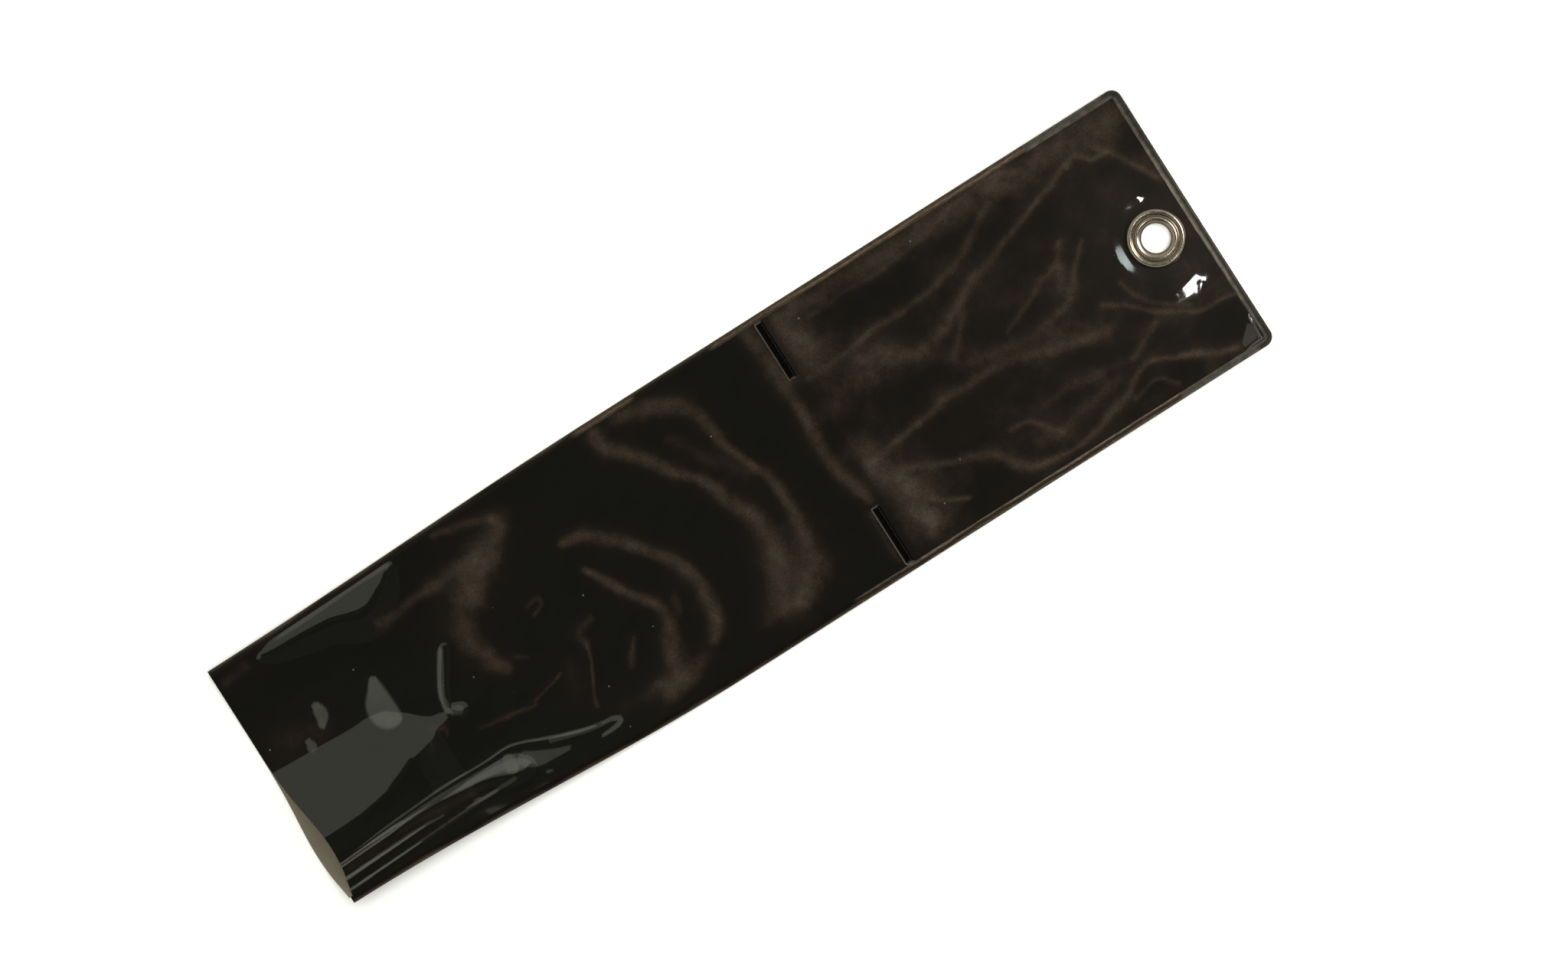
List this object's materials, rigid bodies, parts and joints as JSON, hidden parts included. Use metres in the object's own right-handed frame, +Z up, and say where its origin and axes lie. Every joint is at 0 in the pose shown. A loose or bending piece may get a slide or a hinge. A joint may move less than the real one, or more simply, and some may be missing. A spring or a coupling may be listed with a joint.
{
  "type": "slip-on vinyl sleeve with hanging grommet",
  "caption": "Flat open-ended sleeve of smoked vinyl welded along three sides, with stop welds, a folding tail and a metal grommet to hang it by.",
  "frame": {"origin": "middle of the bounding box, on the surface that the sleeve lies on", "axes": "+X along the sleeve to its closed end, +Y to the side whose lips lie closed, +Z up out of the front sheet"},
  "size_m": [0.365, 0.1016, 0.0122],
  "materials": {
    "front_vinyl": "smoked clear, glossy outside, fine cloth-like emboss inside",
    "back_vinyl": "smoked clear, glossy outside, fine cloth-like emboss inside",
    "side_weld": "narrow tear-seal weld bead",
    "stop_weld": "pressed groove with a raised rim",
    "end_weld": "pressed grey band with a dark outer bead",
    "eyelet_nickel": "satin nickel plate",
    "washer_nickel": "satin nickel plate"
  },
  "bodies": {
    "pocket": {"pocket_front_sheet": "front_vinyl", "pocket_back_sheet": "back_vinyl", "pocket_left_seam": "side_weld", "pocket_right_seam": "side_weld", "stop_weld_left": "stop_weld", "stop_weld_right": "stop_weld"},
    "tail": {"tail_front_sheet": "front_vinyl", "tail_back_sheet": "back_vinyl", "tail_left_seam": "side_weld", "tail_right_seam": "side_weld", "end_seam": "end_weld", "grommet_eyelet": "eyelet_nickel", "grommet_washer": "washer_nickel"}
  },
  "joints": [
    {"name": "tail_fold", "type": "hinge", "parent": "pocket", "child": "tail", "pos_m": [0.0415, 0, 0.0005], "axis": [0, -1, 0], "range_deg": [-130, 130]}
  ]
}
